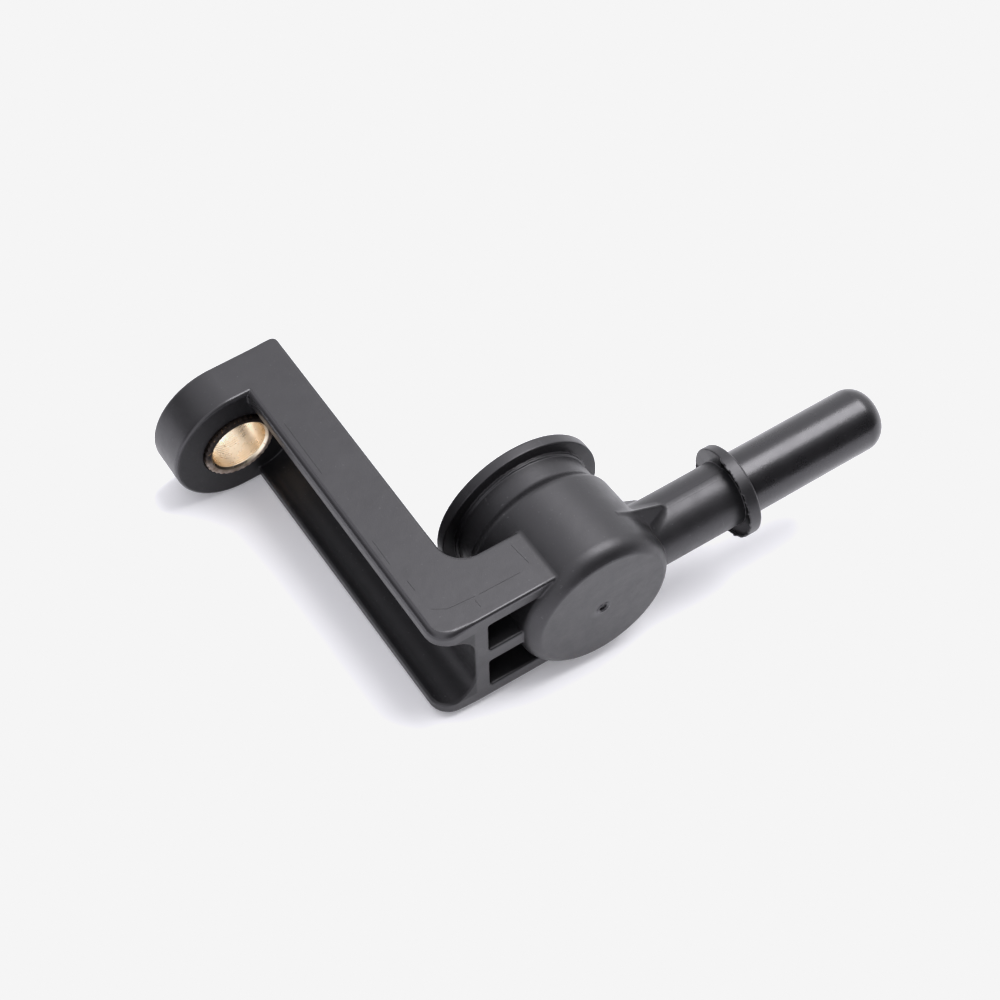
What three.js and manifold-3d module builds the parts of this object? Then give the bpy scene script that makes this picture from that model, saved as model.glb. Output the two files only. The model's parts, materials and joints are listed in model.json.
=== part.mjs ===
// Fluid feed joint with mounting arm: one plastic moulding and one brass bush.
//
// Row frame, millimetres: the origin is the centre of the cup's flat closed end.
// +Y runs along the cup's axis towards its open mouth, +X along the spigot, +Z is up,
// and the mounting arm runs from the cup towards -X and then along +Y to its ear.

import * as THREE from 'three';
import { mergeVertices } from 'three/addons/utils/BufferGeometryUtils.js';
import Module from 'manifold-3d';

const wasm = await Module();
wasm.setup();

// Cup: closed end at y = 0, open mouth at y = CUP_LENGTH.
const CUP_LENGTH = 17.9;
const BODY_R = 9.6;
const CLOSED_EDGE_R = 2.6;
const CLOSED_EDGE_OVERRUN = 0.34;
const SHOULDER_Y = 12.84;
const SHOULDER_EDGE_R = 1.1;
const NECK_R = 8.9;
const NECK_FILLET = 0.5;
const RING_R = 9.05;
const RING_Y = 15.9;
const RING_EDGE = 0.12;
const FLANGE_R = 10.7;
const FLANGE_Y = 16.42;
const FLANGE_EDGE = 0.25;

// Socket inside the cup: a wide seal land, then a narrower chamber.
const SEAL_R = 6.9;
const SEAL_STEP_Y = 7.7;
const CHAMBER_R = 6.1;
const CHAMBER_FLOOR_Y = 2.6;
const MOUTH_R = 7.6;
const MOUTH_CHAMFER = 1.0;

// Spigot: shank, retaining bead and quick-connect male end, along +X.
const SPIGOT_Y = 5.33;
const SPIGOT_BORE_R = 2.4;
const SHANK_R = 4.07;
const BEAD_R = 5.72;
const BEAD_START_X = 20.99;
const BEAD_END_X = 22.36;
const MALE_R = 3.945;
const MALE_ROUND_X = 40.7;
const MALE_TIP_X = 42.4;
const MALE_LIP_R = 2.75;

// Tent-shaped ribs above, below and behind the shank where it leaves the cup.
const RIB_ROOT_X = 3.0;
const RIB_END_X = 12.35;
const RIB_END_RIDGE = 4.62;
const RIB_SLOPE = 0.47;
const RIB_SIDE_SLOPE = 1.42;
const RIB_INNER = 2.2;
const RIB_END_BLUNT = 0.4;

// Mounting arm: an L in plan, of constant height.
const ARM_HALF_H = 8.3;
const ARM_OUTER_X = -20.45;
const ARM_INNER_X = -13.45;
const ARM_FRONT_Y = 1.68;
const ARM_CROSS_BACK_Y = 9.34;
const ARM_OUTER_CORNER_R = 2.6;
const ARM_INNER_CORNER_R = 3.3;
const ARM_END_CORNER_R = 0.8;
const ARM_EDGE = 0.5;
const ARM_CUP_OVERLAP_X = -4.3;

// Channel along the long leg, open towards -X and at the front.
const CHANNEL_HALF_H = 6.3;
const CHANNEL_WEB_X = -15.6;
const CHANNEL_CORNER_R = 4.2;

// Two cored pockets in the front of the cross leg.
const POCKET_LEFT_X = -13.75;
const POCKET_BACK_Y = 7.2;
const UPPER_POCKET_Z = [1.15, 6.25];
const LOWER_POCKET_Z = [-6.25, -1.15];

// Ear with the bush.
const EAR_X = -22.53;
const EAR_FRONT_Y = 42.85;
const EAR_BACK_Y = 48.57;
const EAR_R = 8.3;
const EAR_EDGE = 0.35;
const EAR_HOLE_R = 4.65;

// Brass compression bush.
const BUSH_R = 4.6;
const BUSH_KNURL_DEPTH = 0.18;
const BUSH_TEETH = 36;
const BUSH_BORE_R = 3.55;
const BUSH_MOUTH_R = 3.85;
const BUSH_FRONT_PROUD = 0.85;
const BUSH_BACK_PROUD = 0.1;
const BUSH_GROOVE_HALF_W = 0.7;
const BUSH_GROOVE_DEPTH = 0.45;

const ROUND_SEGMENTS = 60;
const EDGE_STEPS = 3;

// A manifold solid made from a closed three.js geometry.
function solid(geometry) {
  geometry.deleteAttribute('normal');
  geometry.deleteAttribute('uv');
  const merged = mergeVertices(geometry, 1e-4);
  const vertProperties = Float32Array.from(merged.attributes.position.array);
  const triVerts = Uint32Array.from(merged.index.array);
  return new wasm.Manifold(new wasm.Mesh({ numProp: 3, vertProperties, triVerts }));
}

// A named mesh made from a manifold solid, with its own material.
function meshFrom(manifold, name, color, metalness, roughness) {
  const result = manifold.getMesh();
  const geometry = new THREE.BufferGeometry();
  const positions = new THREE.Float32BufferAttribute(result.vertProperties, 3);
  geometry.setAttribute('position', positions);
  geometry.setIndex(new THREE.Uint32BufferAttribute(result.triVerts, 1));
  geometry.computeVertexNormals();
  const material = new THREE.MeshStandardMaterial({ color, metalness, roughness });
  material.name = name;
  const mesh = new THREE.Mesh(geometry, material);
  mesh.name = name;
  return mesh;
}

// Points on a quarter round from one direction to another about a centre.
function arc(cx, cy, rx, ry, fromDeg, toDeg, steps = EDGE_STEPS) {
  const points = [];
  for (let i = 0; i <= steps; i += 1) {
    const angle = THREE.MathUtils.degToRad(fromDeg + ((toDeg - fromDeg) * i) / steps);
    points.push([cx + rx * Math.cos(angle), cy + ry * Math.sin(angle)]);
  }
  return points;
}

// A solid of revolution about +Y from [radius, y] pairs that start and end on the axis.
function turned(profile, segments = ROUND_SEGMENTS) {
  const points = profile.map(([r, y]) => new THREE.Vector2(Math.max(r, 0), y));
  return solid(new THREE.LatheGeometry(points, segments));
}

// The same, turned to run along +X and moved to the spigot's axis.
function turnedOnSpigot(profile) {
  const points = profile.map(([r, x]) => new THREE.Vector2(Math.max(r, 0), x));
  const geometry = new THREE.LatheGeometry(points, ROUND_SEGMENTS);
  geometry.rotateZ(-Math.PI / 2);
  geometry.translate(0, SPIGOT_Y, 0);
  return solid(geometry);
}

// A closed outline in plan, given as [x, y] pairs, as a solid between two heights.
function planBlock(outline, zLow, zHigh, edge = 0) {
  const shape = new THREE.Shape(outline.map(([x, y]) => new THREE.Vector2(x, y)));
  const geometry = new THREE.ExtrudeGeometry(shape, {
    depth: zHigh - zLow - 2 * edge,
    bevelEnabled: edge > 0,
    bevelThickness: edge,
    bevelSize: edge,
    bevelOffset: -edge,
    bevelSegments: 3,
    curveSegments: 12,
  });
  geometry.translate(0, 0, zLow + edge);
  return solid(geometry);
}

// A closed outline of [x, z] pairs as a solid between two positions along Y.
function sectionBlock(outline, yLow, yHigh, edge = 0) {
  const shape = new THREE.Shape(outline.map(([x, z]) => new THREE.Vector2(x, -z)));
  const geometry = new THREE.ExtrudeGeometry(shape, {
    depth: yHigh - yLow - 2 * edge,
    bevelEnabled: edge > 0,
    bevelThickness: edge,
    bevelSize: edge,
    bevelOffset: -edge,
    bevelSegments: 2,
    curveSegments: 12,
  });
  geometry.rotateX(-Math.PI / 2);
  geometry.translate(0, yLow + edge, 0);
  return solid(geometry);
}

// A rectangular block between two corners.
function block(low, high) {
  const size = high.map((value, i) => value - low[i]);
  const geometry = new THREE.BoxGeometry(...size);
  geometry.translate(low[0] + size[0] / 2, low[1] + size[1] / 2, low[2] + size[2] / 2);
  return solid(geometry);
}

// The round at the closed end stops short of its tangent, so the flat face has a crisp rim.
function cupOutside() {
  const edge = CLOSED_EDGE_R;
  const edgeY = CLOSED_EDGE_R - CLOSED_EDGE_OVERRUN;
  const edgeFrom = -THREE.MathUtils.radToDeg(Math.asin(edgeY / edge));
  const shoulder = SHOULDER_EDGE_R;
  return turned([
    [0, 0],
    ...arc(BODY_R - edge, edgeY, edge, edge, edgeFrom, 0, 5),
    ...arc(BODY_R - shoulder, SHOULDER_Y - shoulder, shoulder, shoulder, 0, 60, 3),
    [NECK_R, SHOULDER_Y + NECK_FILLET],
    [NECK_R, RING_Y],
    [RING_R, RING_Y + RING_EDGE],
    [RING_R, FLANGE_Y],
    [FLANGE_R - FLANGE_EDGE, FLANGE_Y],
    [FLANGE_R, FLANGE_Y + FLANGE_EDGE],
    [FLANGE_R, CUP_LENGTH - FLANGE_EDGE],
    [FLANGE_R - FLANGE_EDGE, CUP_LENGTH],
    [0, CUP_LENGTH],
  ]);
}

function socketSpace() {
  return turned([
    [0, CHAMBER_FLOOR_Y],
    [CHAMBER_R - 0.4, CHAMBER_FLOOR_Y],
    [CHAMBER_R, CHAMBER_FLOOR_Y + 0.4],
    [CHAMBER_R, SEAL_STEP_Y - 0.6],
    [SEAL_R, SEAL_STEP_Y],
    [SEAL_R, CUP_LENGTH - MOUTH_CHAMFER],
    [2 * MOUTH_R - SEAL_R, CUP_LENGTH + MOUTH_CHAMFER],
    [0, CUP_LENGTH + MOUTH_CHAMFER],
  ]);
}

function spigotOutside() {
  const roundLength = MALE_TIP_X - MALE_ROUND_X;
  const roundDepth = MALE_R - MALE_LIP_R;
  const bead = 0.35;
  return turnedOnSpigot([
    [0, 4],
    [SHANK_R, 4],
    [SHANK_R, BEAD_START_X],
    [BEAD_R - bead, BEAD_START_X],
    [BEAD_R, BEAD_START_X + bead],
    [BEAD_R, BEAD_END_X - bead],
    [BEAD_R - bead, BEAD_END_X],
    [MALE_R, BEAD_END_X],
    ...arc(MALE_LIP_R, MALE_ROUND_X, roundDepth, roundLength, 0, 90),
    [0, MALE_TIP_X],
  ]);
}

function spigotBore() {
  const flare = 0.2;
  return turnedOnSpigot([
    [0, 0],
    [SPIGOT_BORE_R, 0],
    [SPIGOT_BORE_R, MALE_TIP_X - flare],
    [SPIGOT_BORE_R + 2 * flare, MALE_TIP_X + flare],
    [0, MALE_TIP_X + flare],
  ]);
}

// The three corners of a rib's section at x, whose crest stands at the given height.
function ribSection(x, crest) {
  const halfWidth = (crest - RIB_INNER) / RIB_SIDE_SLOPE;
  return [
    [x, 0, crest],
    [x, halfWidth, RIB_INNER],
    [x, -halfWidth, RIB_INNER],
  ];
}

// One tent-shaped rib standing along +Z on the X axis.
function uprightRib() {
  const bluntX = RIB_END_X - RIB_END_BLUNT;
  const crestAt = (x) => RIB_END_RIDGE + RIB_SLOPE * (RIB_END_X - x);
  return wasm.Manifold.hull([
    ...ribSection(RIB_ROOT_X, crestAt(RIB_ROOT_X)),
    ...ribSection(bluntX, crestAt(bluntX)),
    ...ribSection(RIB_END_X, RIB_END_RIDGE - RIB_END_BLUNT),
  ]);
}

function spigotRibs() {
  const rib = uprightRib();
  return rib
    .add(rib.rotate([180, 0, 0]))
    .add(rib.rotate([-90, 0, 0]))
    .translate([0, SPIGOT_Y, 0]);
}

// The L in plan, from the front left corner round to the cup.
function armOutline() {
  const outer = ARM_OUTER_CORNER_R;
  const inner = ARM_INNER_CORNER_R;
  const end = ARM_END_CORNER_R;
  return [
    ...arc(ARM_OUTER_X + outer, ARM_FRONT_Y + outer, outer, outer, 180, 270, 6),
    [ARM_CUP_OVERLAP_X, ARM_FRONT_Y],
    [ARM_CUP_OVERLAP_X, ARM_CROSS_BACK_Y],
    ...arc(ARM_INNER_X + inner, ARM_CROSS_BACK_Y + inner, inner, inner, 270, 180, 6),
    ...arc(ARM_INNER_X - end, EAR_BACK_Y - end, end, end, 0, 90, 3),
    [ARM_OUTER_X, EAR_BACK_Y],
  ];
}

function armChannel() {
  const r = CHANNEL_CORNER_R;
  const openX = ARM_OUTER_X - 12;
  const outline = [
    [openX, CHANNEL_HALF_H],
    ...arc(CHANNEL_WEB_X - r, CHANNEL_HALF_H - r, r, r, 90, 0, 6),
    ...arc(CHANNEL_WEB_X - r, -(CHANNEL_HALF_H - r), r, r, 0, -90, 6),
    [openX, -CHANNEL_HALF_H],
  ];
  return sectionBlock(outline.reverse(), ARM_FRONT_Y - 2, EAR_FRONT_Y);
}

// One pocket, stopping at the cup's own wall.
function pocket([zLow, zHigh]) {
  const space = block([POCKET_LEFT_X, ARM_FRONT_Y - 1, zLow], [0, POCKET_BACK_Y, zHigh]);
  const cupWall = turned([[0, -1], [BODY_R, -1], [BODY_R, SHOULDER_Y], [0, SHOULDER_Y]]);
  return space.subtract(cupWall);
}

function ear() {
  const outline = [
    ...arc(EAR_X, 0, EAR_R, EAR_R, 90, 270, 24),
    [ARM_INNER_X - 1, -EAR_R],
    [ARM_INNER_X - 1, EAR_R],
  ];
  return sectionBlock(outline.reverse(), EAR_FRONT_Y, EAR_BACK_Y, EAR_EDGE);
}

function earHole() {
  const geometry = new THREE.CylinderGeometry(EAR_HOLE_R, EAR_HOLE_R, 12, ROUND_SEGMENTS);
  geometry.translate(EAR_X, (EAR_FRONT_Y + EAR_BACK_Y) / 2, 0);
  return solid(geometry);
}

function mouldedBody() {
  const arm = planBlock(armOutline(), -ARM_HALF_H, ARM_HALF_H, ARM_EDGE)
    .subtract(armChannel())
    .subtract(pocket(UPPER_POCKET_Z))
    .subtract(pocket(LOWER_POCKET_Z));
  return cupOutside()
    .add(spigotOutside())
    .add(spigotRibs())
    .add(arm)
    .add(ear())
    .subtract(socketSpace())
    .subtract(spigotBore())
    .subtract(earHole());
}

// A knurled tube with a plain groove round its middle and chamfered mouths.
function brassBush() {
  const knurl = [];
  for (let i = 0; i < 2 * BUSH_TEETH; i += 1) {
    const angle = (Math.PI * i) / BUSH_TEETH;
    const r = i % 2 === 0 ? BUSH_R : BUSH_R - BUSH_KNURL_DEPTH;
    knurl.push([r * Math.cos(angle), r * Math.sin(angle)]);
  }
  const low = EAR_FRONT_Y - BUSH_FRONT_PROUD;
  const high = EAR_BACK_Y + BUSH_BACK_PROUD;
  const middle = (EAR_FRONT_Y + EAR_BACK_Y) / 2;
  const mouth = BUSH_MOUTH_R - BUSH_BORE_R;
  const bore = turned([
    [0, low - mouth],
    [BUSH_MOUTH_R + mouth, low - mouth],
    [BUSH_BORE_R, low + mouth],
    [BUSH_BORE_R, high - mouth],
    [BUSH_MOUTH_R + mouth, high + mouth],
    [0, high + mouth],
  ]);
  const grooveOuter = turned([
    [0, middle - BUSH_GROOVE_HALF_W],
    [BUSH_R + 1, middle - BUSH_GROOVE_HALF_W],
    [BUSH_R + 1, middle + BUSH_GROOVE_HALF_W],
    [0, middle + BUSH_GROOVE_HALF_W],
  ]);
  const grooveCore = turned([
    [0, low - 1],
    [BUSH_R - BUSH_GROOVE_DEPTH, low - 1],
    [BUSH_R - BUSH_GROOVE_DEPTH, high + 1],
    [0, high + 1],
  ]);
  return sectionBlock(knurl.reverse(), low, high)
    .subtract(bore)
    .subtract(grooveOuter.subtract(grooveCore))
    .translate([EAR_X, 0, 0]);
}

const group = new THREE.Group();
group.name = 'fluid_feed_joint';
group.add(meshFrom(mouldedBody(), 'moulded_body', 0x3a3a3d, 0.0, 0.6));
group.add(meshFrom(brassBush(), 'brass_bush', 0xc9a24a, 1.0, 0.35));

export default group;
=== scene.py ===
"""Looks for the fluid feed joint: one moulded plastic body and one brass bush.

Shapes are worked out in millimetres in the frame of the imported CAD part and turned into
metres when the meshes are made. The moulding is described as a distance field, so that
every inside corner has a moulded fillet and every outside corner a small round, as in the
real part. The field is meshed finely and its vertices are settled on the exact surface.
"""

import json
import math

import bmesh
import bpy
import numpy as np
import openvdb
from mathutils import Matrix, Vector


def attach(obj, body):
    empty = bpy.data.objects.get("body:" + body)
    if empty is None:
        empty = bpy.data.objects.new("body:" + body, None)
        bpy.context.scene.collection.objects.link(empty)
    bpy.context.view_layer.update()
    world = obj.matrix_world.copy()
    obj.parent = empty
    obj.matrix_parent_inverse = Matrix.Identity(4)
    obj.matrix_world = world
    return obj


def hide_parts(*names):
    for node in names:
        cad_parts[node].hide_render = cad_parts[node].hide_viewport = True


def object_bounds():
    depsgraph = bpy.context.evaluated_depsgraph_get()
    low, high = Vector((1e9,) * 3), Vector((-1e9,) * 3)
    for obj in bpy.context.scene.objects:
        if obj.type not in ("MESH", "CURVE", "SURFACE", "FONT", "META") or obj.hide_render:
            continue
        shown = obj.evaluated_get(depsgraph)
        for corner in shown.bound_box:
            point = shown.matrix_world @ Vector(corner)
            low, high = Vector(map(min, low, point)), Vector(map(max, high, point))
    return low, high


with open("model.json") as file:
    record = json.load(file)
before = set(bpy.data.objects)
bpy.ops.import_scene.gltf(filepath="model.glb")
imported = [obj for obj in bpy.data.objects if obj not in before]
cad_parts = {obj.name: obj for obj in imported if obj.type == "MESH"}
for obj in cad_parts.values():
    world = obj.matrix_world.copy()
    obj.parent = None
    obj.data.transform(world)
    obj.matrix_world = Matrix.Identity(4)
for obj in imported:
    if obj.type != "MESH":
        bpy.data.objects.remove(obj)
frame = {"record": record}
cad_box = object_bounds()

MM = 0.001
MOUNTS = {m["name"]: np.array(m["pos_m"]) / MM for m in frame["record"]["mounts"]}

# Driving dimensions, in millimetres: the cup. Its axis is Y, from its closed end to its mouth.
CUP_LENGTH = MOUNTS["mouth_rim"][1]
BODY_R = 9.6
BODY_DRAFT = 0.012
CLOSED_EDGE_R = 2.6
CLOSED_EDGE_OVERRUN = 0.34
CLOSED_RIM_R = 0.1
CLOSED_END_LEAN = 0.42
SHOULDER_Y = 12.84
SHOULDER_R = 1.1
NECK_R = 8.9
NECK_MIDDLE_Y = 10.2
NECK_HALF_L = 7.2
NECK_FILLET = 0.7
RING_R = 9.05
RING_Y = 15.95
RING_EDGE = 0.12
RING_FILLET = 0.1
GATE_PIT_R = 0.46
GATE_PIT_DEPTH = 0.3
GATE_RIM_R = 0.72
GATE_RIM_H = 0.1
FLANGE_Y = MOUNTS["clip_shoulder"][1]
FLANGE_R = 10.62
FLANGE_FRONT_EDGE = 0.14
FLANGE_BACK_EDGE = 0.3
FLANGE_FILLET = 0.08
SEAL_R = 6.9
SEAL_STEP_Y = 7.7
SEAL_EDGE = 0.2
CHAMBER_R = 6.1
CHAMBER_FLOOR_Y = 2.6
CHAMBER_FLOOR_R = 0.9
LEAD_IN_SLOPE = 0.7
LEAD_IN_DEPTH = 1.0

# The spigot, along +X, with its bead, male end and ribs.
SPIGOT_Y = 5.33
SPIGOT_BORE_R = 2.4
SHANK_R = 4.07
BEAD_START_X = MOUNTS["bead_latch_face"][0]
BEAD_END_X = 22.36
BEAD_R = 5.72
BEAD_FRONT_EDGE = 0.1
BEAD_BACK_EDGE = 0.35
LIP_FROM = 1.35
LIP_FROM_FADE = 0.12
LIP_TO = 6.05
LIP_TO_FADE = 0.25
LIP_REACH = 0.36
LIP_UNEVEN = 0.13
LIP_THICKNESS = 0.26
HATCH_LINES = 100.0
UNDERCUT_CLEAR = 0.1
UNDERCUT_REACH = 0.3
MALE_R = 3.945
MALE_TIP_X = 42.5
MALE_TIP_ROUND = 2.7
PARTING_HALF_W = 0.42
PARTING_H = 0.035
PARTING_EDGE = 0.12
RIB_END_X = 12.35
RIB_END_ROUND = 0.65
RIB_END_RIDGE = 4.62
RIB_RIDGE_ROUND = 0.1
RIB_SLOPE = 0.47
RIB_SIDE_SLOPE = 1.42
RIB_ROOT_X = 6.0
RIB_INNER = 2.2
RIB_FILLET = 0.45

# The L-shaped arm, with its channel on the outer side and its two pockets.
ARM_HALF_H = 8.3
ARM_OUTER_X = -20.45
ARM_INNER_X = -13.45
ARM_FRONT_Y = 1.68
ARM_END_X = -4.0
ARM_CORNER_R = 2.6
ARM_INNER_CORNER_R = 3.3
ARM_PLAN_EDGE = 0.8
ARM_EDGE = 0.4
ARM_OUTER_EDGE = 0.45
CROSS_BACK_Y = 9.34
CHANNEL_HALF_H = 6.3
CHANNEL_WEB_X = -15.6
CHANNEL_CORNER_R = 4.2
CHANNEL_END_EDGE = 0.15
POCKET_LEFT_X = -13.75
POCKET_BACK_Y = 7.2
POCKET_Z = (1.15, 6.25)
POCKET_CORNER_R = 0.35
POCKET_FLOOR_R = 0.5
CUT_EDGE = 0.3

# The ear and the brass bush in it. Both have their axis along Y.
EAR_X = -22.53
EAR_FRONT_Y = 42.85
EAR_BACK_Y = 48.57
EAR_R = 8.3
EAR_FRONT_EDGE = 0.45
EAR_BACK_EDGE = 0.5
EAR_FILLET = 0.08
EAR_FILLET_FADE = 1.5
EAR_HOLE_R = 4.65
EAR_HOLE_EDGE = 0.12
BUSH_R = 4.6
BUSH_BORE_R = 3.55
BUSH_MOUTH_R = 3.85
BUSH_FRONT_PROUD = 0.5
BUSH_BACK_PROUD = 0.1
BUSH_EDGE = 0.03
BUSH_RINGS = 20
BUSH_RING_WAVE = (0.0, 0.0175, 0.035, 0.0175)
BUSH_CHAMFER_R = 0.22
BUSH_CHAMFER_L = 0.2
BUSH_GROOVE_DEPTH = 0.4
BUSH_GROOVE_FLOOR_HALF_W = 0.7
BUSH_GROOVE_HALF_W = 0.8
KNURL_TEETH = 36
KNURL_WAVE = (0.0, 0.07, 0.15, 0.07)

FIELD_STEP = 0.19
FIELD_MARGIN = 1.2
BODY_TRIANGLES = 190000
GRID_BLOCK = 6
GRADIENT_STEP = 0.02


# ---------------------------------------------------------------- distance fields

def join(a, b, radius):
    """Union of two fields with a concave fillet."""
    across = np.hypot(np.maximum(radius - a, 0), np.maximum(radius - b, 0))
    return np.maximum(radius, np.minimum(a, b)) - across


def meet(a, b, radius):
    """Intersection of two fields with a rounded outer edge."""
    across = np.hypot(np.maximum(radius + a, 0), np.maximum(radius + b, 0))
    return np.minimum(-radius, np.maximum(a, b)) + across


def cut(a, b, radius):
    """Field a with b taken away, and the edge of the cut rounded."""
    return meet(a, -b, radius)


def between(field, t, low, high, round_low, round_high):
    """A field cut off at two parallel planes with rounded edges."""
    return meet(meet(field, low - t, round_low), t - high, round_high)


def cup_field(q, y):
    """The cup's outside: body, rounded shoulder, neck, raised ring and flange."""
    body_r = BODY_R + BODY_DRAFT * (SHOULDER_Y - y)
    body = meet(q - body_r, -CLOSED_EDGE_OVERRUN - y, CLOSED_EDGE_R)
    body = between(body, y, 0.0, SHOULDER_Y, CLOSED_RIM_R, SHOULDER_R)
    neck = np.maximum(q - NECK_R, np.abs(y - NECK_MIDDLE_Y) - NECK_HALF_L)
    ring = between(q - RING_R, y, RING_Y, FLANGE_Y + 0.6, RING_EDGE, RING_FILLET)
    flange = between(q - FLANGE_R, y, FLANGE_Y, CUP_LENGTH, FLANGE_FRONT_EDGE, FLANGE_BACK_EDGE)
    necked = join(join(body, neck, NECK_FILLET), ring, RING_FILLET)
    return join(necked, flange, FLANGE_FILLET)


def socket_field(q, y):
    """The space in the cup: chamber, wider seal land and a conical lead-in at the mouth."""
    chamber = meet(q - CHAMBER_R, CHAMBER_FLOOR_Y - y, CHAMBER_FLOOR_R)
    seal = meet(q - SEAL_R, SEAL_STEP_Y - y, SEAL_EDGE)
    cone = q - SEAL_R - LEAD_IN_SLOPE * (y - CUP_LENGTH + LEAD_IN_DEPTH)
    lead_in = cone / math.hypot(1.0, LEAD_IN_SLOPE)
    space = np.minimum(np.minimum(chamber, seal), lead_in)
    return np.maximum(space, y - CUP_LENGTH - 0.8)


def ragged(angle):
    """Uneven edge left by trimmed flash, from -1 to 1 round the spigot."""
    waves = 0.45 * np.sin(23 * angle + 1.0) + 0.3 * np.sin(41 * angle + 2.2)
    return waves + 0.25 * np.sin(67 * angle + 0.4)


def bead_field(x, y, z, t):
    """The latch bead. Most of its face towards the cup is undercut, behind a ragged lip."""
    angle = np.arctan2(z, y - SPIGOT_Y)
    turn = np.mod(angle, 2 * np.pi)
    begun = np.clip((turn - LIP_FROM) / LIP_FROM_FADE, 0.0, 1.0)
    share = begun * np.clip((LIP_TO - turn) / LIP_TO_FADE, 0.0, 1.0)
    start = BEAD_START_X - share * (LIP_REACH + LIP_UNEVEN * ragged(angle))
    bead = between(t - BEAD_R, x, start, BEAD_END_X, BEAD_FRONT_EDGE, BEAD_BACK_EDGE)
    floor = x - BEAD_START_X + UNDERCUT_CLEAR - UNDERCUT_REACH * share
    undercut = np.maximum(floor, t - BEAD_R + LIP_THICKNESS)
    return cut(bead, undercut, 0.04)


def spigot_field(x, y, z, t):
    """The shank with its low parting ridge, the bead, and the male end with its round tip."""
    across = np.clip((PARTING_HALF_W - np.abs(y - SPIGOT_Y)) / PARTING_EDGE + 0.5, 0.0, 1.0)
    shank_r = SHANK_R + PARTING_H * across
    shank = np.maximum(np.maximum(t - shank_r, x - BEAD_END_X + 0.2), 5.0 - x)
    male = np.maximum(meet(t - MALE_R, x - MALE_TIP_X, MALE_TIP_ROUND), BEAD_START_X + 0.3 - x)
    return join(join(shank, bead_field(x, y, z, t), 0.05), male, 0.2)


def rib_field(side, across, x):
    """A tent-shaped rib on one side of the shank: its ridge falls to a blunt end near the bead."""
    ridge = RIB_END_RIDGE + RIB_SLOPE * (RIB_END_X - x)
    soft = np.hypot(across, RIB_RIDGE_ROUND) - RIB_RIDGE_ROUND
    steepness = math.sqrt(1.0 + RIB_SIDE_SLOPE ** 2 + RIB_SLOPE ** 2)
    tent = (side + RIB_SIDE_SLOPE * soft - ridge) / steepness
    tent = np.maximum(tent, RIB_INNER - side)
    return np.maximum(meet(tent, x - RIB_END_X, RIB_END_ROUND), RIB_ROOT_X - x)


def ribs_field(x, y, z):
    """Ribs above, below and behind the shank, against the cup."""
    upright = rib_field(np.abs(z), y - SPIGOT_Y, x)
    rear = rib_field(y - SPIGOT_Y, z, x)
    return np.minimum(upright, rear)


def arm_field(x, y, z):
    """The L in plan: one block with its inner part notched out, so that no two faces coincide."""
    outside = meet(ARM_OUTER_X - x, ARM_FRONT_Y - y, ARM_CORNER_R)
    outside = np.maximum(np.maximum(outside, x - ARM_END_X), y - EAR_BACK_Y)
    notch = meet(ARM_INNER_X - x, CROSS_BACK_Y - y, ARM_INNER_CORNER_R)
    plan = cut(outside, notch, ARM_PLAN_EDGE)
    outer_share = np.clip((ARM_INNER_X - 2.0 - x) / 3.0, 0.0, 1.0)
    edge = ARM_EDGE + ARM_OUTER_EDGE * outer_share
    return meet(plan, np.abs(z) - ARM_HALF_H, edge)


def channel_field(x, y, z):
    """The space of the channel along the arm's outer side, up to the ear."""
    section = meet(x - CHANNEL_WEB_X, np.abs(z) - CHANNEL_HALF_H, CHANNEL_CORNER_R)
    return meet(section, y - EAR_FRONT_Y, CHANNEL_END_EDGE)


def pocket_field(x, y, z, q):
    """The two pockets in the cross leg's front, which end at the cup's wall."""
    low, high = POCKET_Z
    section = between(POCKET_LEFT_X - x, np.abs(z), low, high, POCKET_CORNER_R, POCKET_CORNER_R)
    space = meet(section, y - POCKET_BACK_Y, POCKET_FLOOR_R)
    return np.maximum(space, BODY_R + 0.05 - q)


def ear_field(x, y, z):
    """The ear: a half-round end that runs on flush into the arm's end."""
    round_end = np.hypot(x - EAR_X, z) - EAR_R
    straight = np.maximum(np.abs(z) - EAR_R, EAR_X - x)
    outline = np.maximum(np.minimum(round_end, straight), x - ARM_INNER_X + 1.2)
    return between(outline, y, EAR_FRONT_Y, EAR_BACK_Y, EAR_FRONT_EDGE, EAR_BACK_EDGE)


def ear_fillet(y, z):
    """Fillet radius between ear and arm, fading out where their faces are flush."""
    flat = np.clip((ARM_HALF_H - np.abs(z)) / EAR_FILLET_FADE, 0.0, 1.0)
    back = np.clip((EAR_BACK_Y - EAR_FILLET_FADE - y) / EAR_FILLET_FADE, 0.0, 1.0)
    return EAR_FILLET * flat * back


def gate_mark(field, q, y):
    """The broken-off gate in the middle of the closed end: a small pit with a raised rim."""
    rim = np.hypot(q - GATE_RIM_R, y) - GATE_RIM_H
    pit = np.maximum(q - GATE_PIT_R, y - GATE_PIT_DEPTH)
    return cut(join(field, rim, 0.08), pit, 0.05)


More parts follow.
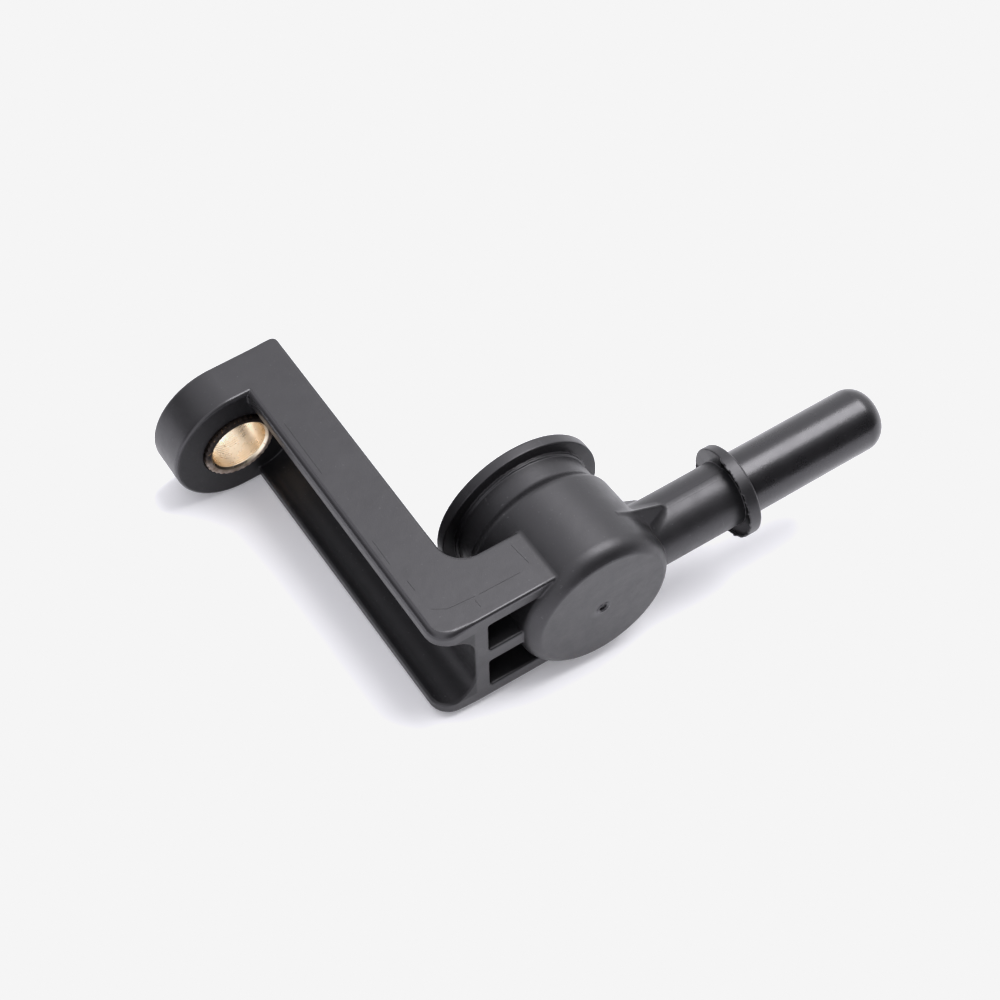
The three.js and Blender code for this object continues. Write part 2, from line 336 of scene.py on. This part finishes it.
def body_field(x, y, z):
    """Signed distance, about, to the surface of the moulding.

    q and outside_q are distances from the axes of the socket and of the cup's outside, which
    leans towards the spigot at its closed end. t is the distance from the spigot's axis.
    """
    q = np.hypot(x, z)
    lean = CLOSED_END_LEAN * np.clip(1.0 - y / SHOULDER_Y, 0.0, 1.0)
    outside_q = np.hypot(x - lean, z)
    t = np.hypot(y - SPIGOT_Y, z)
    arm = cut(arm_field(x, y, z), channel_field(x, y, z), CUT_EDGE)
    arm = cut(arm, pocket_field(x, y, z, outside_q), CUT_EDGE)
    cup = join(cup_field(outside_q, y), spigot_field(x, y, z, t), 0.12)
    cup = join(cup, ribs_field(x, y, z), RIB_FILLET)
    whole = join(join(arm, ear_field(x, y, z), ear_fillet(y, z)), cup, 0.14)
    whole = cut(whole, socket_field(q, y), 0.2)
    whole = gate_mark(whole, outside_q, y)
    bore = np.maximum(t - SPIGOT_BORE_R, -x)
    whole = cut(whole, bore, 0.2)
    hole = np.hypot(x - EAR_X, z) - EAR_HOLE_R
    return cut(whole, hole, EAR_HOLE_EDGE)


# ---------------------------------------------------------------- meshing

def gradient(field, p):
    """Unit gradient of a field at points p, and the gradient's length."""
    out = np.empty_like(p)
    for axis in range(3):
        step = np.zeros(3)
        step[axis] = GRADIENT_STEP
        out[:, axis] = field(*(p + step).T) - field(*(p - step).T)
    length = np.linalg.norm(out, axis=1, keepdims=True)
    return out / np.maximum(length, 1e-12), length[:, 0] / (2 * GRADIENT_STEP)


def settle(field, p, rounds=3):
    """Moves points on to the zero surface of a field."""
    for _ in range(rounds):
        uphill, slope = gradient(field, p)
        travel = np.clip(field(*p.T) / np.maximum(slope, 0.3), -0.3, 0.3)
        p = p - uphill * travel[:, None]
    return p


def sampled(field, low, high, step):
    """The field on a regular grid, exact near the surface and coarse elsewhere."""
    block = GRID_BLOCK
    counts = np.ceil((high - low) / (step * block)).astype(int)
    centres = [low[i] + step * (block * np.arange(counts[i]) + (block - 1) / 2) for i in range(3)]
    coarse = field(*np.meshgrid(*centres, indexing="ij"))
    values = coarse.repeat(block, 0).repeat(block, 1).repeat(block, 2)
    near = np.abs(values) < step * block * 1.1
    index = np.argwhere(near)
    values[near] = field(*(low + step * index).T)
    return values


def quads_of(field, low, high, step):
    """Corner points and quads of the zero surface of a field."""
    values = sampled(field, low, high, step)
    grid = openvdb.FloatGrid(background=step * GRID_BLOCK)
    grid.copyFromArray(values)
    points, quads = grid.convertToQuads(isovalue=0.0)
    return low + step * points.astype(float), quads


def make_object(name, points_mm, faces, material):
    """A mesh object from points in millimetres."""
    mesh = bpy.data.meshes.new(name)
    mesh.from_pydata((points_mm * MM).tolist(), [], faces)
    mesh.validate()
    mesh.update()
    mesh.materials.append(material)
    obj = bpy.data.objects.new(name, mesh)
    bpy.context.scene.collection.objects.link(obj)
    return obj


def outward(mesh):
    """Makes every face of a closed mesh point out of it."""
    bm = bmesh.new()
    bm.from_mesh(mesh)
    bmesh.ops.recalc_face_normals(bm, faces=bm.faces)
    bm.to_mesh(mesh)
    bm.free()


def thinned(obj, faces):
    """Collapses edges until the mesh has about the given number of triangles."""
    now = sum(len(p.vertices) - 2 for p in obj.data.polygons)
    modifier = obj.modifiers.new("thin", "DECIMATE")
    modifier.ratio = min(1.0, faces / now)
    graph = bpy.context.evaluated_depsgraph_get()
    mesh = bpy.data.meshes.new_from_object(obj.evaluated_get(graph))
    obj.modifiers.clear()
    obj.data = mesh


def make_body(material):
    """The whole moulding as one closed skin, shaded with the field's own normals."""
    low = np.array(cad_box[0]) / MM - FIELD_MARGIN
    high = np.array(cad_box[1]) / MM + FIELD_MARGIN
    points, quads = quads_of(body_field, low, high, FIELD_STEP)
    points = settle(body_field, points)
    obj = make_object("moulded_body_skin", points, quads.tolist(), material)
    outward(obj.data)
    thinned(obj, BODY_TRIANGLES)
    mesh = obj.data
    corners = np.empty(len(mesh.vertices) * 3)
    mesh.vertices.foreach_get("co", corners)
    corners = settle(body_field, corners.reshape(-1, 3) / MM, 2)
    mesh.vertices.foreach_set("co", (corners * MM).ravel())
    mesh.polygons.foreach_set("use_smooth", np.ones(len(mesh.polygons), dtype=bool))
    normals, _ = gradient(body_field, corners)
    mesh.normals_split_custom_set_from_vertices(normals)
    mesh.update()
    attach(obj, "root")
    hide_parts("moulded_body")
    return obj


# ---------------------------------------------------------------- witness lines

LINE_HALF_W = 0.055
LINE_H = 0.02
LINE_SINK = 0.03
# Corners of each line on the arm's upper face, as (x, y) in millimetres.
LINES_ON_TOP = (
    ((-18.5, 5.95), (-17.0, 5.0), (-13.6, 4.7)),
    ((-13.1, 4.66), (-10.6, 4.62), (-7.8, 4.56)),
    ((-13.84, 4.28), (-13.79, 3.15)),
    ((-6.6, 8.16), (-6.26, 5.06)),
    ((-18.7, 10.5), (-18.65, 8.96)),
    ((-19.1, 28.2), (-19.05, 36.7)),
    ((-19.15, 13.4), (-19.12, 17.2)),
)


def make_witness_lines(material):
    """Hair-fine ridges left on the arm's upper face where the tool's inserts met."""
    points = []
    faces = []
    crest = ARM_HALF_H + LINE_H
    foot = ARM_HALF_H - LINE_SINK
    for line in LINES_ON_TOP:
        path = np.array(line)
        along = np.gradient(path, axis=0)
        along /= np.linalg.norm(along, axis=1, keepdims=True)
        side = np.stack((-along[:, 1], along[:, 0]), 1) * LINE_HALF_W
        first = len(points)
        for (x, y), (sx, sy) in zip(path, side):
            points += [(x - sx, y - sy, foot), (x, y, crest), (x + sx, y + sy, foot)]
        last = len(points) - 3
        for a in range(first, last, 3):
            for i in range(3):
                k = (i + 1) % 3
                faces.append((a + i, a + k, a + 3 + k, a + 3 + i))
        faces.append((first, first + 1, first + 2))
        faces.append((last, last + 1, last + 2))
    obj = make_object("witness_lines", np.array(points), faces, material)
    outward(obj.data)
    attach(obj, "root")
    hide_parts("moulded_body")


# ---------------------------------------------------------------- brass bush

def bush_profile():
    """Closed loop of (radius, y, knurl share) round the bush's wall."""
    low = EAR_FRONT_Y - BUSH_FRONT_PROUD
    high = EAR_BACK_Y + BUSH_BACK_PROUD
    mouth = BUSH_MOUTH_R - BUSH_BORE_R
    wave = len(BUSH_RING_WAVE)
    steps = BUSH_RINGS * wave
    loop = []
    for i in range(steps + 1):
        y = low + mouth + (high - low - 2 * mouth) * i / steps
        loop.append((BUSH_BORE_R + BUSH_RING_WAVE[i % wave], y, 0.0))
    loop.append((BUSH_MOUTH_R - BUSH_EDGE, high - BUSH_EDGE, 0.0))
    loop.append((BUSH_MOUTH_R + BUSH_EDGE, high, 0.0))
    loop.append((BUSH_R - BUSH_CHAMFER_R, high, 1.0))
    loop.append((BUSH_R, high - BUSH_CHAMFER_L, 1.0))
    middle = (EAR_FRONT_Y + EAR_BACK_Y) / 2
    loop.append((BUSH_R, middle + BUSH_GROOVE_HALF_W, 1.0))
    loop.append((BUSH_R - BUSH_GROOVE_DEPTH, middle + BUSH_GROOVE_FLOOR_HALF_W, 0.0))
    loop.append((BUSH_R - BUSH_GROOVE_DEPTH, middle - BUSH_GROOVE_FLOOR_HALF_W, 0.0))
    loop.append((BUSH_R, middle - BUSH_GROOVE_HALF_W, 1.0))
    loop.append((BUSH_R, low + BUSH_CHAMFER_L, 1.0))
    loop.append((BUSH_R - BUSH_CHAMFER_R, low, 1.0))
    loop.append((BUSH_MOUTH_R + BUSH_EDGE, low, 0.0))
    loop.append((BUSH_MOUTH_R - BUSH_EDGE, low + BUSH_EDGE, 0.0))
    return loop


def make_bush(material):
    """The bush's wall, swept round its axis, with a knurl that is cut into its outside."""
    loop = bush_profile()
    wave = len(KNURL_WAVE)
    steps = KNURL_TEETH * wave
    points = []
    for j in range(steps):
        angle = 2 * math.pi * j / steps
        for r, y, share in loop:
            reach = r - share * KNURL_WAVE[j % wave]
            points.append((EAR_X + reach * math.cos(angle), y, reach * math.sin(angle)))
    n = len(loop)
    faces = []
    for j in range(steps):
        a = j * n
        b = ((j + 1) % steps) * n
        for i in range(n):
            k = (i + 1) % n
            faces.append((a + i, a + k, b + k, b + i))
    obj = make_object("brass_bush_turned", np.array(points), faces, material)
    outward(obj.data)
    obj.data.polygons.foreach_set("use_smooth", [True] * len(faces))
    obj.data.set_sharp_from_angle(angle=math.radians(35))
    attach(obj, "root")
    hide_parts("brass_bush")


# ---------------------------------------------------------------- materials

class Nodes:
    """A small helper that adds and links shader nodes."""

    def __init__(self, name):
        self.material = bpy.data.materials.new(name)
        self.material.use_nodes = True
        self.tree = self.material.node_tree
        self.shader = self.tree.nodes["Principled BSDF"]
        coordinates = self.tree.nodes.new("ShaderNodeTexCoord")
        self.place = coordinates.outputs["Object"]

    def add(self, kind, **settings):
        node = self.tree.nodes.new(kind)
        for key, value in settings.items():
            setattr(node, key, value)
        return node

    def link(self, source, target):
        self.tree.links.new(source, target)

    def feed(self, target, value):
        if isinstance(value, (int, float, tuple)):
            target.default_value = value
        else:
            self.link(value, target)

    def noise(self, scale, detail=3.0, rough=0.55, place=None):
        node = self.add("ShaderNodeTexNoise")
        node.inputs["Scale"].default_value = scale
        node.inputs["Detail"].default_value = detail
        node.inputs["Roughness"].default_value = rough
        self.link(place or self.place, node.inputs["Vector"])
        return node.outputs["Fac"]

    def stretched(self, scale, turn=(0.0, 0.0, 0.0)):
        node = self.add("ShaderNodeMapping")
        node.inputs["Scale"].default_value = scale
        node.inputs["Rotation"].default_value = turn
        self.link(self.place, node.inputs["Vector"])
        return node.outputs["Vector"]

    def ramp(self, source, low, high, to_low=0.0, to_high=1.0):
        node = self.add("ShaderNodeMapRange", clamp=True)
        self.link(source, node.inputs["Value"])
        node.inputs["From Min"].default_value = low
        node.inputs["From Max"].default_value = high
        node.inputs["To Min"].default_value = to_low
        node.inputs["To Max"].default_value = to_high
        return node.outputs["Result"]

    def math(self, operation, a, b=0.0):
        node = self.add("ShaderNodeMath", operation=operation)
        self.feed(node.inputs[0], a)
        self.feed(node.inputs[1], b)
        return node.outputs[0]

    def mix(self, share, a, b):
        node = self.add("ShaderNodeMix", data_type="RGBA")
        self.feed(node.inputs["Factor"], share)
        self.feed(node.inputs["A"], a)
        self.feed(node.inputs["B"], b)
        return node.outputs["Result"]

    def blend(self, share, a, b):
        node = self.add("ShaderNodeMix", data_type="FLOAT")
        self.feed(node.inputs["Factor"], share)
        self.feed(node.inputs["A"], a)
        self.feed(node.inputs["B"], b)
        return node.outputs["Result"]

    def bump(self, height, distance, strength=1.0, below=None):
        node = self.add("ShaderNodeBump")
        node.inputs["Strength"].default_value = strength
        node.inputs["Distance"].default_value = distance
        self.link(height, node.inputs["Height"])
        if below is not None:
            self.link(below, node.inputs["Normal"])
        return node.outputs["Normal"]


def band(n, value, low, high, soft):
    """Share that is 1 between two values and fades to 0 over a soft width."""
    rise = n.ramp(value, low - soft, low)
    fall = n.ramp(value, high, high + soft, 1.0, 0.0)
    return n.math("MULTIPLY", rise, fall)


def worn_edges(n, x, z, reach):
    """The arm's and ear's edges, rubbed smoother than their faces."""
    height = n.math("ABSOLUTE", z)
    off_ear = n.math("SUBTRACT", x, EAR_X * MM)
    squares = n.math("ADD", n.math("POWER", off_ear, 2.0), n.math("POWER", z, 2.0))
    ear_reach = n.math("SQRT", squares)
    ear_share = n.ramp(off_ear, 0.0, 0.1 * MM, 1.0, 0.0)
    straight = band(n, height, (ARM_HALF_H - 0.42) * MM, (ARM_HALF_H - 0.03) * MM, 0.04 * MM)
    curved = band(n, ear_reach, (EAR_R - 0.36) * MM, (EAR_R - 0.05) * MM, 0.04 * MM)
    rim = n.blend(ear_share, straight, curved)
    off_cup = n.ramp(reach, (BODY_R + 0.6) * MM, (BODY_R + 1.0) * MM)
    return n.math("MULTIPLY", n.math("MULTIPLY", rim, off_cup), n.ramp(x, 0.0, 1.0 * MM, 1.0, 0.0))


def recess_shade_share(n, x, y, z):
    """The channel's walls and the ear's front face inside it, painted as shade in these recesses
    with a lower specular level.
    """
    deep = n.ramp(x, (CHANNEL_WEB_X + 0.1) * MM, (CHANNEL_WEB_X - 0.1) * MM)
    height = n.math("ABSOLUTE", z)
    inside = n.ramp(height, (CHANNEL_HALF_H - 0.1) * MM, (CHANNEL_HALF_H + 0.1) * MM, 1.0, 0.0)
    before_ear = n.ramp(y, (EAR_FRONT_Y - 0.1) * MM, EAR_FRONT_Y * MM, 1.0, 0.0)
    channel = n.math("MULTIPLY", inside, before_ear)
    ear_front = band(n, y, (EAR_FRONT_Y - 0.05) * MM, (EAR_FRONT_Y + 0.05) * MM, 0.05 * MM)
    under_top = n.ramp(height, (ARM_HALF_H - 0.35) * MM, (ARM_HALF_H - 0.15) * MM, 1.0, 0.0)
    ear_front = n.math("MULTIPLY", ear_front, under_top)
    return n.math("MULTIPLY", deep, n.math("MAXIMUM", channel, ear_front))


def torn_share(n, x, spoke):
    """The torn face under the bead's lip, which is painted dark as shade in the undercut."""
    depth = band(n, x, (BEAD_START_X - 0.35) * MM, (BEAD_START_X + 0.6) * MM, 0.08 * MM)
    ring = band(n, spoke, (SHANK_R + 0.08) * MM, (BEAD_R - LIP_THICKNESS + 0.03) * MM, 0.03 * MM)
    return n.math("MULTIPLY", depth, ring)


def plastic_material():
    n = Nodes("matt_charcoal_plastic")
    axes = n.add("ShaderNodeSeparateXYZ")
    n.link(n.place, axes.inputs["Vector"])
    x, y, z = (axes.outputs[k] for k in "XYZ")
    reach = n.math("SQRT", n.math("ADD", n.math("POWER", x, 2.0), n.math("POWER", z, 2.0)))
    off_axis = n.math("SUBTRACT", y, SPIGOT_Y * MM)
    spoke = n.math("SQRT", n.math("ADD", n.math("POWER", off_axis, 2.0), n.math("POWER", z, 2.0)))
    turn = n.math("ARCTAN2", z, off_axis)
    past_bead = n.ramp(x, (BEAD_END_X - 0.1) * MM, (BEAD_END_X + 0.1) * MM)
    front_side = n.ramp(off_axis, 1.6 * MM, 1.0 * MM)
    front_side = n.math("MAXIMUM", front_side, n.ramp(z, -0.2 * MM, -0.8 * MM))
    torn_and_shaded = n.math("MULTIPLY", torn_share(n, x, spoke), front_side)
    hatch = n.ramp(n.math("SINE", n.math("MULTIPLY", turn, HATCH_LINES)), -0.2, 0.6)
    hatch = n.math("MULTIPLY", hatch, n.ramp(z, 0.0, -1.5 * MM))
    worn = worn_edges(n, x, z, reach)
    cloud = n.noise(90.0, 4.0)
    grain = n.noise(6500.0, 2.0, 0.6)
    rub = n.noise(420.0, 5.0, 0.65)
    black = (0.0050, 0.0048, 0.0055, 1.0)
    grey = (0.0085, 0.0082, 0.0092, 1.0)
    base = n.mix(n.ramp(cloud, 0.3, 0.7), black, grey)
    speck = n.ramp(n.noise(3000.0, 1.0), 0.70, 0.80)
    base = n.mix(n.math("MULTIPLY", speck, 0.5), base, (0.055, 0.054, 0.058, 1.0))
    scratch_place = n.stretched((2600.0, 90.0, 400.0), (0.0, 0.0, 0.5))
    scratch = n.ramp(n.noise(1.0, 2.0, place=scratch_place), 0.72, 0.80)
    base = n.mix(n.math("MULTIPLY", scratch, 0.35), base, (0.06, 0.06, 0.064, 1.0))
    base = n.mix(n.math("MULTIPLY", worn, 0.4), base, (0.040, 0.039, 0.042, 1.0))
    # Painted shade: the torn face under the lip is near black. Lighter hatch lines of its torn
    # surface run over its lower part.
    torn_and_shaded_color = n.mix(hatch, (0.002, 0.002, 0.0022, 1.0), (0.12, 0.117, 0.125, 1.0))
    near = n.ramp(reach, 0.5 * MM, 1.6 * MM, 0.8, 0.0)
    smear = n.math("MULTIPLY", near, n.ramp(rub, 0.42, 0.62))
    smear = n.math("MULTIPLY", smear, n.ramp(y, 0.1 * MM, 0.2 * MM, 1.0, 0.0))
    base = n.mix(smear, base, (0.07, 0.069, 0.075, 1.0))
    base = n.mix(torn_and_shaded, base, torn_and_shaded_color)
    n.link(base, n.shader.inputs["Base Color"])
    matt = n.ramp(rub, 0.3, 0.7, 0.36, 0.46)
    glossy = n.ramp(rub, 0.3, 0.7, 0.25, 0.32)
    rough = n.blend(past_bead, matt, glossy)
    rough = n.blend(worn, rough, 0.2)
    rough = n.blend(torn_and_shaded, rough, 0.9)
    n.link(rough, n.shader.inputs["Roughness"])
    # Painted shade: the channel and the ear's front face get a lower specular level.
    level = n.blend(recess_shade_share(n, x, y, z), 0.5, 0.25)
    # Painted shade: the torn face gets a still lower specular level.
    n.link(n.blend(torn_and_shaded, level, 0.12), n.shader.inputs["Specular IOR Level"])
    n.shader.inputs["IOR"].default_value = 1.58
    n.shader.inputs["Specular Tint"].default_value = (0.965, 0.945, 1.0, 1.0)
    fine = n.bump(grain, 0.00002, 0.36)
    wave = n.bump(n.noise(600.0, 3.0), 0.00006, 0.3, below=fine)
    n.link(wave, n.shader.inputs["Normal"])
    return n.material


def line_material():
    n = Nodes("witness_line_plastic")
    cloud = n.noise(500.0, 3.0)
    black = (0.003, 0.003, 0.0032, 1.0)
    grey = (0.014, 0.0135, 0.0152, 1.0)
    base = n.mix(n.ramp(cloud, 0.35, 0.65), black, grey)
    n.link(base, n.shader.inputs["Base Color"])
    n.link(n.ramp(cloud, 0.35, 0.65, 0.8, 0.45), n.shader.inputs["Roughness"])
    n.link(n.bump(n.noise(3600.0, 2.0), 0.00002, 0.4), n.shader.inputs["Normal"])
    return n.material


def brass_material():
    n = Nodes("turned_brass")
    axes = n.add("ShaderNodeSeparateXYZ")
    n.link(n.place, axes.inputs["Vector"])
    off_x = n.math("SUBTRACT", axes.outputs["X"], EAR_X * MM)
    square = n.math("ADD", n.math("POWER", off_x, 2.0), n.math("POWER", axes.outputs["Z"], 2.0))
    spoke = n.math("SQRT", square)
    end_face = n.ramp(spoke, (BUSH_MOUTH_R - 0.1) * MM, (BUSH_MOUTH_R + 0.05) * MM)
    cloud = n.noise(500.0, 4.0)
    bore = n.mix(n.ramp(cloud, 0.3, 0.7), (0.78, 0.63, 0.45, 1.0), (0.90, 0.79, 0.64, 1.0))
    brown = (0.20, 0.14, 0.10, 1.0)
    pale = (0.50, 0.42, 0.37, 1.0)
    end_face_tarnish_and_shade = n.mix(n.ramp(n.noise(900.0, 4.0), 0.35, 0.65), brown, pale)
    # Painted shade: the end face's brown tarnish is mixed towards near black at its top. This
    # stands in for the dark room that the face reflects there.
    painted_top_shade = n.ramp(axes.outputs["Z"], -1.6 * MM, 0.6 * MM)
    end_face_tarnish_and_shade = n.mix(painted_top_shade, end_face_tarnish_and_shade, (0.02, 0.014, 0.012, 1.0))
    base = n.mix(end_face, bore, end_face_tarnish_and_shade)
    stain = n.math("MULTIPLY", n.ramp(n.noise(2400.0, 3.0), 0.62, 0.74), 0.7)
    base = n.mix(stain, base, (0.30, 0.17, 0.08, 1.0))
    n.link(base, n.shader.inputs["Base Color"])
    n.link(n.ramp(end_face, 0.0, 1.0, 1.0, 0.75), n.shader.inputs["Metallic"])
    smooth = n.ramp(cloud, 0.3, 0.7, 0.22, 0.34)
    n.link(n.blend(end_face, smooth, 0.5), n.shader.inputs["Roughness"])
    rings = n.noise(1500.0, 2.0, place=n.stretched((0.15, 4.0, 0.15)))
    n.link(n.bump(rings, 0.00003, 0.6), n.shader.inputs["Normal"])
    return n.material


def floor_material():
    n = Nodes("pale_paper")
    cloud = n.noise(6.0, 3.0)
    base = n.mix(n.ramp(cloud, 0.3, 0.7), (0.88, 0.875, 0.905, 1.0), (0.895, 0.89, 0.92, 1.0))
    n.link(base, n.shader.inputs["Base Color"])
    n.shader.inputs["Roughness"].default_value = 0.75
    n.shader.inputs["Emission Color"].default_value = (0.96, 0.95, 1.0, 1.0)
    n.shader.inputs["Emission Strength"].default_value = PAPER_GLOW
    n.link(n.bump(n.noise(900.0, 3.0), 0.00004, 0.15), n.shader.inputs["Normal"])
    return n.material


# ---------------------------------------------------------------- stage, lights, camera

FLOOR_TILT = math.radians(6.12)
FLOOR_HALF_SIZE = 2.5
FLOOR_SEGMENTS = 24
PAPER_GLOW = 0.15
# Each patch: azimuth, elevation, and the angles from its middle where it ends and is full.
CAMERA_SIDE = (25.0, 18.0, 63.0, 21.0)
LEFT_SIDE = (-112.0, 14.0, 50.0, 15.0)
ROOM_LIGHT = 1.3
ROOM_DARK = 0.06
ROOM_DIM = 0.12
KEY_DIRECTION = (98.0, 64.0)
KEY_DISTANCE = 2.0
KEY_SIZE = 1.25
KEY_RADIANCE = 7.6
PAPER_WHITE = 0.913

# The product view: angles in degrees, distances and lens in millimetres.
CAMERA_AZIMUTH = -31.921
CAMERA_ELEVATION = 55.019
CAMERA_ROLL = -1.420
CAMERA_TARGET = (-1.154, 18.971, -0.17)
CAMERA_DISTANCE = 295.565
LENS_LENGTH = 91.49
SENSOR_WIDTH = 36.0


def make_floor(body):
    """The plane that the part rests on, with the flange's rim and the arm's lower outer edge."""
    corners = np.empty(len(body.data.vertices) * 3)
    body.data.vertices.foreach_get("co", corners)
    corners = corners.reshape(-1, 3)
    down = np.array((-math.sin(FLOOR_TILT), 0.0, -math.cos(FLOOR_TILT)))
    depth = float((corners @ down).max())
    bm = bmesh.new()
    count = FLOOR_SEGMENTS
    bmesh.ops.create_grid(bm, x_segments=count, y_segments=count, size=FLOOR_HALF_SIZE)
    turn = Matrix.Rotation(FLOOR_TILT, 4, "Y")
    bm.transform(Matrix.Translation(Vector(down * depth)) @ turn)
    mesh = bpy.data.meshes.new("floor")
    bm.to_mesh(mesh)
    bm.free()
    mesh.materials.append(floor_material())
    floor = bpy.data.objects.new("floor", mesh)
    bpy.context.scene.collection.objects.link(floor)


def soft_box(name, place, aim, size, power):
    """A rectangular area light that faces a point."""
    light = bpy.data.lights.new(name, "AREA")
    light.shape = "RECTANGLE"
    light.size, light.size_y = size
    light.energy = power
    obj = bpy.data.objects.new(name, light)
    obj.location = place
    obj.rotation_euler = (Vector(aim) - Vector(place)).to_track_quat("-Z", "Y").to_euler()
    bpy.context.scene.collection.objects.link(obj)


def direction(azimuth, elevation):
    """Unit vector from angles in degrees: azimuth from -Y towards +X, elevation towards +Z."""
    a, e = math.radians(azimuth), math.radians(elevation)
    return Vector((math.sin(a) * math.cos(e), -math.cos(a) * math.cos(e), math.sin(e)))


def dark_share(tree, place, patch):
    """Share, from 0 to 1, of a soft dark patch on the room's walls."""
    azimuth, elevation, wide, narrow = patch
    along = tree.nodes.new("ShaderNodeVectorMath")
    along.operation = "DOT_PRODUCT"
    along.inputs[1].default_value = direction(azimuth, elevation)
    tree.links.new(place, along.inputs[0])
    fade = tree.nodes.new("ShaderNodeMapRange")
    fade.interpolation_type = "SMOOTHSTEP"
    fade.inputs["From Min"].default_value = math.cos(math.radians(wide))
    fade.inputs["From Max"].default_value = math.cos(math.radians(narrow))
    tree.links.new(along.outputs["Value"], fade.inputs["Value"])
    return fade.outputs["Result"]


def make_world():
    """A pale room, dark where the camera stands and dim low down on its far left."""
    world = bpy.data.worlds.new("studio")
    world.use_nodes = True
    tree = world.node_tree
    place = tree.nodes.new("ShaderNodeTexCoord").outputs["Generated"]
    strength = None
    for patch, level in ((CAMERA_SIDE, ROOM_DARK), (LEFT_SIDE, ROOM_DIM)):
        fade = tree.nodes.new("ShaderNodeMapRange")
        fade.inputs["To Min"].default_value = 1.0
        fade.inputs["To Max"].default_value = level
        tree.links.new(dark_share(tree, place, patch), fade.inputs["Value"])
        product = tree.nodes.new("ShaderNodeMath")
        product.operation = "MULTIPLY"
        product.inputs[1].default_value = ROOM_LIGHT
        tree.links.new(fade.outputs["Result"], product.inputs[0])
        if strength is not None:
            tree.links.new(strength, product.inputs[1])
        strength = product.outputs[0]
    tree.links.new(strength, tree.nodes["Background"].inputs["Strength"])
    tree.nodes["Background"].inputs["Color"].default_value = (0.97, 0.97, 1.0, 1.0)
    bpy.context.scene.world = world


def make_lights():
    """One soft box overhead, and the room's own light."""
    centre = Vector((0.0, 0.02, 0.0))
    place = centre + direction(*KEY_DIRECTION) * KEY_DISTANCE
    power = KEY_RADIANCE * math.pi * KEY_SIZE ** 2
    soft_box("overhead", place, centre, (KEY_SIZE, KEY_SIZE), power)
    make_world()


def make_camera():
    """The product view, from the left and high above the cup's closed end."""
    roll = math.radians(CAMERA_ROLL)
    back = direction(CAMERA_AZIMUTH, CAMERA_ELEVATION)
    right = Vector((0.0, 0.0, 1.0)).cross(back).normalized()
    up = back.cross(right)
    side = right * math.cos(roll) + up * math.sin(roll)
    top = up * math.cos(roll) - right * math.sin(roll)
    data = bpy.data.cameras.new("camera")
    data.lens = LENS_LENGTH
    data.sensor_width = SENSOR_WIDTH
    data.clip_start = 0.01
    data.clip_end = 20.0
    camera = bpy.data.objects.new("camera", data)
    turn = Matrix((side, top, back)).transposed().to_4x4()
    place = (Vector(CAMERA_TARGET) + back * CAMERA_DISTANCE) * MM
    camera.matrix_world = Matrix.Translation(place) @ turn
    bpy.context.scene.collection.objects.link(camera)
    bpy.context.scene.camera = camera


def set_film():
    """Plain response that tops out at the paper's pale tone, like an overexposed backdrop."""
    view = bpy.context.scene.view_settings
    view.view_transform = "Standard"
    view.use_curve_mapping = True
    curve = view.curve_mapping.curves[3]
    curve.points[0].location = (0.0, 0.0)
    curve.points[-1].location = (1.0, PAPER_WHITE)
    curve.points.new(PAPER_WHITE, PAPER_WHITE)
    for point in curve.points:
        point.handle_type = "VECTOR"
    view.curve_mapping.update()


make_camera()
body = make_body(plastic_material())
make_witness_lines(line_material())
make_bush(brass_material())
make_floor(body)
make_lights()
set_film()
